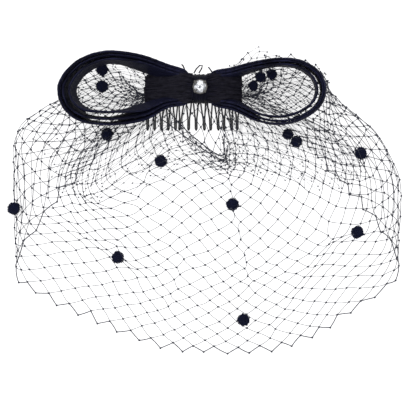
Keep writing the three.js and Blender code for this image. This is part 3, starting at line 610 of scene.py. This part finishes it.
# The pinch: its share, the share of the reach where it is full and where it ends, and how far the lower
# edge leans in at the end, top and bottom of the loop.
LEFT_PINCH = (0.48, 0.30, 0.70, 0.06, 0.13, 0.09)
RIGHT_PINCH = (0.38, 0.15, 0.52, 0.012, 0.05, 0.03)
LEFT_RIM = np.array([
    # x and y as shares of reach and half height, the insets of the middle and inner band in millimetres
    (-0.085, 0.42, 1.7, 3.4), (-0.226, 0.63, 1.8, 3.6), (-0.440, 0.88, 2.0, 4.0),
    (-0.685, 0.94, 2.2, 4.4), (-0.882, 0.65, 2.6, 5.4), (-1.000, 0.05, 2.8, 6.2),
    (-0.972, -0.52, 2.9, 6.2), (-0.854, -0.91, 3.2, 6.6), (-0.610, -1.03, 3.4, 7.2),
    (-0.374, -0.90, 2.8, 5.6), (-0.226, -0.58, 1.9, 3.8), (-0.085, -0.44, 1.7, 3.4), (-0.068, 0.01, 1.7, 3.4),
])
RIGHT_RIM = np.array([
    # the same columns
    (0.080, 0.41, 1.7, 3.4), (0.220, 0.54, 1.7, 3.4), (0.400, 0.69, 1.7, 3.4), (0.579, 0.77, 1.7, 3.5),
    (0.720, 0.70, 1.8, 4.0), (0.847, 0.38, 1.9, 4.8), (0.890, -0.08, 1.9, 5.0), (0.847, -0.53, 1.9, 4.8),
    (0.720, -0.87, 1.9, 4.6), (0.579, -1.00, 1.9, 4.4), (0.400, -0.93, 2.1, 4.3), (0.230, -0.64, 2.1, 4.0),
    (0.080, -0.46, 1.8, 3.5), (0.064, 0.00, 1.7, 3.4),
])


def smooth_step(value, low, high):
    """0 below low, 1 above high, and between them 3 s ** 2 - 2 s ** 3 of the share s."""
    share = np.clip((value - low) / (high - low), 0, 1)
    return share ** 2 * (3 - 2 * share)


def ring_curve(rows, count):
    """A closed smooth curve through the rows: between two rows a cubic in the square root of the
    distances, so that close rows do not overshoot. Returns evenly counted places (count, kinds)."""
    gap = np.linalg.norm(np.roll(rows, -1, axis=0)[:, :2] - rows[:, :2], axis=1) ** 0.5
    size = len(rows)
    place = np.arange(count) / count * size
    k = np.floor(place).astype(int)
    t = (place - k)[:, None]
    p0, p1, p2, p3 = (rows[(k + shift) % size] for shift in (-1, 0, 1, 2))
    d0, d1, d2 = (gap[(k + shift) % size][:, None] for shift in (-1, 0, 1))
    m1 = ((p1 - p0) / d0 - (p2 - p0) / (d0 + d1) + (p2 - p1) / d1) * d1
    m2 = ((p2 - p1) / d1 - (p3 - p1) / (d1 + d2) + (p3 - p2) / d2) * d1
    return (p1 * (2 * t ** 3 - 3 * t ** 2 + 1) + m1 * (t ** 3 - 2 * t ** 2 + t)
            + p2 * (3 * t ** 2 - 2 * t ** 3) + m2 * (t ** 3 - t ** 2))


def ribbon_band(rim, pinch, column, curl, sink, seed):
    """A closed band of ribbon on edge. Round the loop it follows the rim, moved in by the band's own
    column. Up the ribbon it widens, its top edge curls inwards by curl as the fourth power of the height,
    and sinks by sink where the loop is widest. The wall is two skins with rounded edges and a fine ripple.
    Returns corners, faces, the uv (metres along, metres up) and the length."""
    rng = np.random.default_rng(seed)
    around_count, up_count = 300, 16
    rows = rim * np.array([LOOP_REACH, LOOP_HALF_HEIGHT, 0.001, 0.001])
    curve = ring_curve(rows, around_count)
    ahead = np.roll(curve[:, :2], -1, axis=0) - np.roll(curve[:, :2], 1, axis=0)
    ahead /= np.linalg.norm(ahead, axis=1, keepdims=True)
    area = (curve[:, 0] * np.roll(curve[:, 1], -1) - np.roll(curve[:, 0], -1) * curve[:, 1]).sum()
    inward = np.stack([-ahead[:, 1], ahead[:, 0]], axis=-1) * np.sign(area)
    inset = (np.zeros(around_count) if column is None else curve[:, column]) + RIBBON_WALL * 0.5
    up = np.linspace(0, 1, up_count)
    level = np.concatenate([up, up[::-1]])
    skin = np.repeat([1.0, -1.0], up_count)
    edge = np.sqrt(np.clip(1 - (2 * np.abs(level - 0.5)) ** 26, 0.12, 1))
    turn = np.arange(around_count) / around_count * 2 * np.pi
    wide_here = smooth_step(np.abs(curve[:, 0]) / LOOP_REACH, 0.3, 0.8)
    ripple = 0.00006 * np.sin(turn[:, None] * 23 + 6 * level + seed) * wide_here[:, None]
    ripple += 0.00004 * np.sin(turn[:, None] * 61 + 9 * level + 2 * seed)
    rolled = curl * (0.35 + 0.65 * wide_here)[:, None] * level ** 4
    off = inset[:, None] + skin * edge * RIBBON_WALL * 0.5 + ripple + rolled
    x = curve[:, :1] + inward[:, :1] * off
    y = curve[:, 1:2] + inward[:, 1:] * off
    share, full, none, lean_end, lean_top, lean_bottom = pinch
    reach = np.abs(x) / LOOP_REACH
    waver = sum(rng.normal(0, 0.25) * np.cos(n * turn + rng.uniform(0, 6.28)) / n ** 0.5
                for n in (3, 5, 8, 13))
    height = RIBBON_WIDTH * (LOOP_ROOT + (1 - LOOP_ROOT) * smooth_step(reach, 0.08, 0.5))
    height = height + (0.0005 * (waver[:, None] - 0.8) - sink) * wide_here[:, None]
    below = 1 - level
    taper = 1 - lean_end * below * height / RIBBON_WIDTH
    lean = np.where(y > 0, lean_top, lean_bottom) * smooth_step(reach, full, none)
    draw = 1 - (share * (1 - smooth_step(reach, full, none)) + lean) * below
    rise = LOOP_FLOOR + height * level
    corners = np.stack([x * taper, y * draw, rise], axis=-1).reshape(-1, 3)
    faces = grid_faces(around_count, len(level), ring_rows=True, ring_columns=True)
    if area < 0:
        faces = faces[:, ::-1]
    middle = curve[:, :2] + inward * inset[:, None]
    length = np.linalg.norm(np.roll(middle, -1, axis=0) - middle, axis=1).sum()
    along = np.broadcast_to((turn / (2 * np.pi) * length)[:, None], rise.shape)
    uv = np.stack([along, rise - LOOP_FLOOR], axis=-1).reshape(-1, 2)
    return corners, faces.tolist(), uv, float(length)


# The crinoline's weave: long hairs that run with the ribbon, and finer ones that cross them, at this slant
# both ways. The tones of the hairs change this many times a metre along and across the ribbon.
SLANT = 1.1
TONES_ALONG = 60.0
TONES_ACROSS = 2600.0
FULL_TURN = 6.2832
weave, inside, outside = node_pattern("crinoline_weave", ("Dark", "Light", "Pitch", "Clear"),
                                      ("Colour", "Height", "Cover"))
spot = weave.nodes.new("ShaderNodeTexCoord")
split = weave.nodes.new("ShaderNodeSeparateXYZ")
weave.links.new(spot.outputs["UV"], split.inputs[0])


def weave_math(operation, first, second=None, third=None):
    """One arithmetic node of the weave; each input is a socket or a number."""
    node = weave.nodes.new("ShaderNodeMath")
    node.operation = operation
    for slot, value in enumerate((first, second, third)):
        if value is None:
            continue
        if isinstance(value, (int, float)):
            node.inputs[slot].default_value = value
        else:
            weave.links.new(value, node.inputs[slot])
    return node.outputs[0]


stretched = weave.nodes.new("ShaderNodeCombineXYZ")
weave.links.new(weave_math("MULTIPLY", split.outputs[0], TONES_ALONG), stretched.inputs[0])
weave.links.new(weave_math("MULTIPLY", split.outputs[1], TONES_ACROSS), stretched.inputs[1])
hair_noise = weave.nodes.new("ShaderNodeTexNoise")
hair_noise.inputs["Scale"].default_value = 1.0
hair_noise.inputs["Detail"].default_value = 3
weave.links.new(stretched.outputs[0], hair_noise.inputs["Vector"])
turns = weave_math("DIVIDE", FULL_TURN, inside.outputs["Pitch"])
lengthways = weave_math("SINE", weave_math("MULTIPLY", split.outputs[1], turns))
places = [weave_math("MULTIPLY_ADD", split.outputs[1], slope, split.outputs[0]) for slope in (SLANT, -SLANT)]
waves = [weave_math("SINE", weave_math("MULTIPLY", place, turns)) for place in places]
crossing = weave_math("MAXIMUM", *waves)
relief = weave_math("MAXIMUM", lengthways, weave_math("MULTIPLY", crossing, 0.8))
height = weave_math("MULTIPLY_ADD", relief, 0.35, weave_math("MULTIPLY", hair_noise.outputs["Fac"], 0.65))
weave_tint = weave.nodes.new("ShaderNodeMix")
weave_tint.data_type = "RGBA"
sharp = weave_math("MULTIPLY_ADD", hair_noise.outputs["Fac"], 3.0, -1.15)
sharp = weave_math("MINIMUM", weave_math("MAXIMUM", sharp, 0.0), 1.0)
weave.links.new(sharp, weave_tint.inputs[0])
weave.links.new(inside.outputs["Dark"], weave_tint.inputs[MIX_FROM])
weave.links.new(inside.outputs["Light"], weave_tint.inputs[MIX_TO])
hole = weave_math("MULTIPLY", weave_math("SUBTRACT", 1.0, height), inside.outputs["Clear"])
cover = weave_math("MAXIMUM", weave_math("SUBTRACT", 1.0, hole), 0.0)
weave.links.new(weave_tint.outputs[MIX_RESULT], outside.inputs["Colour"])
weave.links.new(height, outside.inputs["Height"])
weave.links.new(cover, outside.inputs["Cover"])


def woven(name, dark, light, pitch, clear, rough, depth, specular):
    """A crinoline material. pitch and depth, of the relief, are in metres, and clear is how open the weave
    is."""
    material, nodes, links, shader = start_material(name)
    group = nodes.new("ShaderNodeGroup")
    group.node_tree = weave
    group.inputs["Dark"].default_value = (*dark, 1)
    group.inputs["Light"].default_value = (*light, 1)
    group.inputs["Pitch"].default_value = pitch
    group.inputs["Clear"].default_value = clear
    bump = nodes.new("ShaderNodeBump")
    bump.inputs["Distance"].default_value = depth
    links.new(group.outputs["Colour"], shader.inputs["Base Color"])
    links.new(group.outputs["Height"], bump.inputs["Height"])
    links.new(bump.outputs["Normal"], shader.inputs["Normal"])
    if clear > 0:
        links.new(group.outputs["Cover"], shader.inputs["Alpha"])
    shader.inputs["Roughness"].default_value = rough
    shader.inputs["Specular IOR Level"].default_value = specular
    return material


crinoline = woven("navy_crinoline", (0.0022, 0.0024, 0.006), (0.013, 0.014, 0.040), 0.0009, 0.06, 0.6, 0.0002,
                  0.06)
BANDS = [
    # name, rim, pinch, column, curl and sink in metres
    ("loop_left_outer", LEFT_RIM, LEFT_PINCH, None, 0.0006, 0.0),
    ("loop_left_middle", LEFT_RIM, LEFT_PINCH, 2, 0.0004, 0.0030),
    ("loop_left_inner", LEFT_RIM, LEFT_PINCH, 3, 0.0010, 0.0005),
    ("loop_right_outer", RIGHT_RIM, RIGHT_PINCH, None, 0.0010, 0.0),
    ("loop_right_middle", RIGHT_RIM, RIGHT_PINCH, 2, 0.0002, 0.0006),
    ("loop_right_inner", RIGHT_RIM, RIGHT_PINCH, 3, 0.0006, 0.0004),
]
for number, (name, rim, pinch, column, curl, sink) in enumerate(BANDS):
    corners, faces, uv, length = ribbon_band(rim, pinch, column, curl, sink, 31 + number)
    band = new_piece(name + "_ribbon", corners, faces, crinoline, uv=uv)
    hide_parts(name)


# The pad: a flat piece of crinkled crinoline across the middle of the bow, its cut ends bare. It lies
# under the roots of the bands and is held by the wrap.
PAD_LEFT = -0.033
PAD_LENGTH = 0.0582
PAD_HEIGHT = 0.0168
PAD_WAIST = 0.0132
PAD_MIDDLE = -0.0012
PAD_FLOOR = 0.0083
PAD_WALL = 0.002
PAD_OPENING = (0.0006, 0.0070)
WRAP_WIDTH = 0.0102


def pad_half_height(x):
    """Half the pad's height at x: narrow inside the wrap, and opening smoothly between two distances from
    the wrap's edge."""
    share = smooth_step(np.abs(x) - WRAP_WIDTH / 2, *PAD_OPENING)
    return (PAD_WAIST + (PAD_HEIGHT - PAD_WAIST) * share) / 2


def pad_crinkle(x, y):
    """The pad's crinkle at x and y, between 0 and 1: long ridges that run with the hairs and drift."""
    long = np.sin(y * 2400 + 1.7 * np.sin(x * 260) + 0.8 * np.sin(x * 610 + 2))
    short = np.sin(y * 4300 + 2.1 * np.sin(x * 190 + 1)) * 0.5
    cross = 0.35 * np.sin(x * 900 + 2 * np.sin(y * 500))
    return np.clip(0.5 + 0.27 * (long + short + cross), 0, 1)


def pad_sheet():
    """The pad as a closed slab: an upper skin with the crinkle, a lower skin, and the edge between."""
    nx, ny = 150, 50
    x = PAD_LEFT + PAD_LENGTH * np.linspace(0, 1, nx)[:, None] * np.ones(ny)
    y = PAD_MIDDLE + pad_half_height(x) * np.linspace(-1, 1, ny)
    upper = PAD_FLOOR + PAD_WALL * (0.55 + 0.40 * pad_crinkle(x, y))
    lower = PAD_FLOOR + PAD_WALL * 0.25 * pad_crinkle(x + 0.01, y)
    corners = np.concatenate([np.stack([x, y, upper], axis=-1).reshape(-1, 3),
                              np.stack([x, y, lower], axis=-1).reshape(-1, 3)])
    top = grid_faces(nx, ny)
    bottom = top[:, ::-1] + nx * ny
    rim = np.concatenate([np.arange(nx) * ny, (nx - 1) * ny + np.arange(1, ny),
                          np.arange(nx - 2, -1, -1) * ny + ny - 1, np.arange(ny - 2, 0, -1)])
    after = np.roll(rim, -1)
    edge = np.stack([rim, rim + nx * ny, after + nx * ny, after], axis=-1)
    uv = np.tile(np.stack([x, y], axis=-1).reshape(-1, 2), (2, 1))
    return corners, np.concatenate([top, bottom, edge]).tolist(), uv


pad_corners, pad_faces, pad_uv = pad_sheet()
pad_cloth = woven("crinkled_crinoline", (0.0016, 0.0014, 0.0026), (0.024, 0.022, 0.040), 0.0007, 0.0, 0.55,
                  0.0004, 0.04)
pad = new_piece("pad_crin", pad_corners, pad_faces, pad_cloth, uv=pad_uv)
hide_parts("pad")


# The wrap: a short piece of the same ribbon, gathered into folds round the middle of the bow and
# stitched behind. It is rounded over the top and its folds run from top to bottom.
WRAP_HEIGHT = 0.018
WRAP_FLOOR = 0.0067
WRAP_TOP = 0.0202
WRAP_MIDDLE_X = -0.00015
WRAP_MIDDLE_Y = -0.0006
WRAP_ROUND = 0.055


def wrap_folds():
    """The wrap as rings along x. A ring is a rounded outline, and the folds move it in and out by a wave
    along x whose phase wanders round the ring. The first and last rings close to the middle."""
    stations, sides = 70, 96
    t = np.linspace(-1, 1, stations)[:, None]
    angle = (2 * np.pi * np.arange(sides) / sides)[None]
    flat = np.where(np.sin(angle) > 0, 0.75, 0.3)
    y = np.sign(np.cos(angle)) * np.abs(np.cos(angle)) ** flat
    z = np.sign(np.sin(angle)) * np.abs(np.sin(angle)) ** flat
    waist = PAD_FLOOR + PAD_WALL / 2
    reach = np.where(np.sin(angle) > 0, WRAP_TOP - waist, waist - WRAP_FLOOR)
    fold = 0.5 + 0.5 * np.cos(t * 13.5 + 0.9 * np.sin(angle * 2 + 0.6) + 0.5 * np.sin(angle * 5))
    fold = 0.65 * fold + 0.35 * (0.5 + 0.5 * np.cos(t * 24 + 1.4 * np.sin(angle * 3)))
    shoulder = np.clip(1 - np.abs(t) ** 9, 0, 1) ** 0.5
    seat = np.exp(-((angle - np.pi / 2) / 0.22) ** 2)
    swell = (0.93 + 0.07 * fold * (1 - seat)) * (0.80 + 0.20 * shoulder)
    x = WRAP_MIDDLE_X + t * WRAP_WIDTH / 2 + 0 * angle
    corners = np.stack([x, WRAP_MIDDLE_Y + y * WRAP_HEIGHT / 2 * swell, waist + z * reach * swell], axis=-1)
    middles = corners[[0, -1]].mean(axis=1)
    faces = grid_faces(stations, sides, ring_columns=True, turned=True).tolist()
    count = stations * sides
    faces += [[count, (k + 1) % sides, k] for k in range(sides)]
    faces += [[count + 1, count - sides + k, count - sides + (k + 1) % sides] for k in range(sides)]
    uv = np.stack([np.broadcast_to(angle / (2 * np.pi) * WRAP_ROUND, x.shape), x], axis=-1)
    uv = np.concatenate([uv.reshape(-1, 2), uv[[0, -1], 0]])
    return np.concatenate([corners.reshape(-1, 3), middles]), faces, uv


wrap_corners, wrap_faces, wrap_uv = wrap_folds()
wrap_cloth = woven("wrap_ribbon", (0.0022, 0.0022, 0.004), (0.010, 0.010, 0.022), 0.0007, 0.0, 0.5, 0.0002,
                   0.04)
wrap = new_piece("wrap_folds", wrap_corners, wrap_faces, wrap_cloth, uv=wrap_uv)
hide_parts("centre_wrap")


# The pleats: the loops' gathered crinoline on each side of the wrap. It comes out of the wrap over the
# bands' roots, spreads to the silhouette of the bow, and sinks between the bands on to the pad.
PLEAT_REACH = (-0.0320, 0.0243)
PLEAT_START = 0.0042
PLEAT_SPREAD = 0.019
PLEAT_GRID = (130, 90)
PLEATS = np.array([
    # distance from the middle, upper and lower edge, height at the edges, in millimetres
    (4.2, 8.3, -9.4, 17.6), (7.0, 8.7, -9.7, 17.6), (10.0, 9.7, -10.3, 17.4), (12.5, 10.4, -10.7, 16.8),
    (16.0, 9.6, -9.9, 15.6), (20.0, 8.6, -9.4, 14.2), (26.0, 8.0, -9.4, 12.4), (33.0, 8.0, -9.6, 11.2),
])


def pleat_spot(x, share):
    """A point of the pleats at x and at a share from the lower to the upper edge: between the table's
    edges, humped in the middle, with ridges that run along x and so draw together at the wrap."""
    upper, lower, top = (np.interp(np.abs(x) * 1000, PLEATS[:, 0], column) * 0.001 for column in PLEATS.T[1:])
    away = 2 * share - 1
    ridge = np.sin(share * 46 + 1.3 * np.sin(x * 230) + 0.9 * np.sin(x * 520 + share * 5))
    ridge += 0.6 * np.sin(share * 83 + 1.9 * np.sin(x * 310 + 1)) + 0.3 * np.sin(x * 1400 + share * 30)
    hump = 0.0012 * (1 - away ** 2) * np.exp(-(np.abs(x) - 0.006) / 0.008)
    fall = 0.0022 * away ** 6
    return np.stack([x, lower + (upper - lower) * share, top + hump - fall + 0.0003 * ridge], axis=-1)


pleat_parts = []
pleat_uv = []
for start, end in ((PLEAT_REACH[0], -PLEAT_START), (PLEAT_START, PLEAT_REACH[1])):
    x, share = np.meshgrid(np.linspace(start, end, PLEAT_GRID[0]), np.linspace(0, 1, PLEAT_GRID[1]),
                           indexing="ij")
    pleat_parts.append((pleat_spot(x, share).reshape(-1, 3), grid_faces(*PLEAT_GRID).tolist()))
    pleat_uv.append(np.stack([x, share * PLEAT_SPREAD], axis=-1).reshape(-1, 2))
pleat_cloth = woven("pleated_crinoline", (0.0010, 0.0010, 0.0020), (0.016, 0.015, 0.028), 0.0006, 0.0, 0.55,
                    0.0003, 0.04)
pleats = new_piece("wrap_pleats", *joined(pleat_parts), pleat_cloth, uv=np.concatenate(pleat_uv))


# The loose hairs: cut ends and stray fibres of the crinoline, which lie along the pleats on both sides of
# the wrap and reach a little past them, and three frayed threads that curl out above the wrap.
HAIRS = 320
LEFT_SHARE = 0.55
HAIR_START = 0.0045
HAIR_OVERHANG = 0.0012
HAIR_WIDTH = 0.00028
CURL_WIDTH = 0.0008
CURLS = np.array([
    # six points of each curl in millimetres
    ((-3.6, 8.6, 14), (-2.2, 11.0, 15), (-0.2, 13.0, 16), (1.4, 13.0, 16), (1.0, 11.2, 16), (-0.6, 8.6, 15)),
    ((4.8, 12.0, 16), (5.4, 11.6, 16), (6.0, 10.8, 16), (6.6, 9.9, 16), (7.2, 9.0, 16), (7.6, 8.0, 15)),
    ((-11.0, 13.6, 16), (-10.4, 13.2, 16), (-9.8, 12.2, 16), (-9.4, 11.2, 16), (-9.0, 10.0, 16),
     (-8.6, 9.0, 16)),
]) * 0.001
rng = np.random.default_rng(5)
on_left = rng.random(HAIRS) < LEFT_SHARE
hair_from = np.where(on_left, PLEAT_REACH[0] - HAIR_OVERHANG, HAIR_START) + 0.014 * rng.random(HAIRS) ** 1.4
hair_to = np.where(on_left, -HAIR_START, PLEAT_REACH[1] + HAIR_OVERHANG) - 0.010 * rng.random(HAIRS) ** 1.4
hair_x = hair_from[:, None] + (hair_to - hair_from)[:, None] * np.linspace(0, 1, 18)
hair_share = rng.uniform(0.03, 0.97, (HAIRS, 1))
hair_phase = hair_x * rng.uniform(150, 420, (HAIRS, 1)) + rng.uniform(0, 6.28, (HAIRS, 1))
hair_paths = pleat_spot(hair_x, np.clip(hair_share + 0.025 * np.sin(hair_phase), 0.01, 0.99))
hair_paths[:, :, 2] += rng.uniform(0.00005, 0.0003, (HAIRS, 1))
hair = drifting("pad_hair", (0.0005, 0.0005, 0.0012), (0.022, 0.021, 0.032), 300, 0.5, 0.2, 0.00002,
                {"Specular IOR Level": 0.06})
hairs = new_piece("pad_hairs", *joined([
    tubes(hair_paths, HAIR_WIDTH / 2, 4),
    tubes(CURLS, CURL_WIDTH / 2, 6),
]), hair)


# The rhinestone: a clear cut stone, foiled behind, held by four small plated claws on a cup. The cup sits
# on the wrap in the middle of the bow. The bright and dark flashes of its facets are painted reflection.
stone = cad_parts["stone"]
glass, glass_nodes, glass_links, glass_shader = start_material("foiled_stone_painted_glints")
glass_spot = glass_nodes.new("ShaderNodeTexCoord")
facets = glass_nodes.new("ShaderNodeTexVoronoi")
facets.inputs["Scale"].default_value = 620
# Painted reflection: each cell gets a grey from near black to near white for the light its facet mirrors.
painted_glint_tone = glass_nodes.new("ShaderNodeValToRGB")
glint_tones = painted_glint_tone.color_ramp.elements
glint_tones[0].color = (0.10, 0.11, 0.13, 1)
glint_tones[1].color = (0.72, 0.73, 0.76, 1)
glint_tones.new(0.35).color = (0.42, 0.43, 0.46, 1)
glint_tones.new(0.7).color = (0.80, 0.81, 0.84, 1)
facet_split = glass_nodes.new("ShaderNodeSeparateColor")
facet_bump = glass_nodes.new("ShaderNodeBump")
facet_bump.inputs["Distance"].default_value = 0.0007
glass_links.new(glass_spot.outputs["Object"], facets.inputs["Vector"])
glass_links.new(facets.outputs["Color"], facet_split.inputs[0])
glass_links.new(facet_split.outputs[0], painted_glint_tone.inputs["Fac"])
glass_links.new(painted_glint_tone.outputs["Color"], glass_shader.inputs["Base Color"])
glass_links.new(facets.outputs["Distance"], facet_bump.inputs["Height"])
glass_links.new(facet_bump.outputs["Normal"], glass_shader.inputs["Normal"])
glass_shader.inputs["Roughness"].default_value = 0.08
glass_shader.inputs["Metallic"].default_value = 0.7
glass_shader.inputs["Coat Weight"].default_value = 0.6
stone.data.materials.clear()
stone.data.materials.append(glass)
plate = drifting("claw_plate", (0.025, 0.024, 0.024), (0.11, 0.105, 0.10), 800, 0.28, 0.2, 0.00003,
                 {"Metallic": 1.0})
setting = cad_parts["stone_setting"]
setting.data.materials.clear()
setting.data.materials.append(plate)
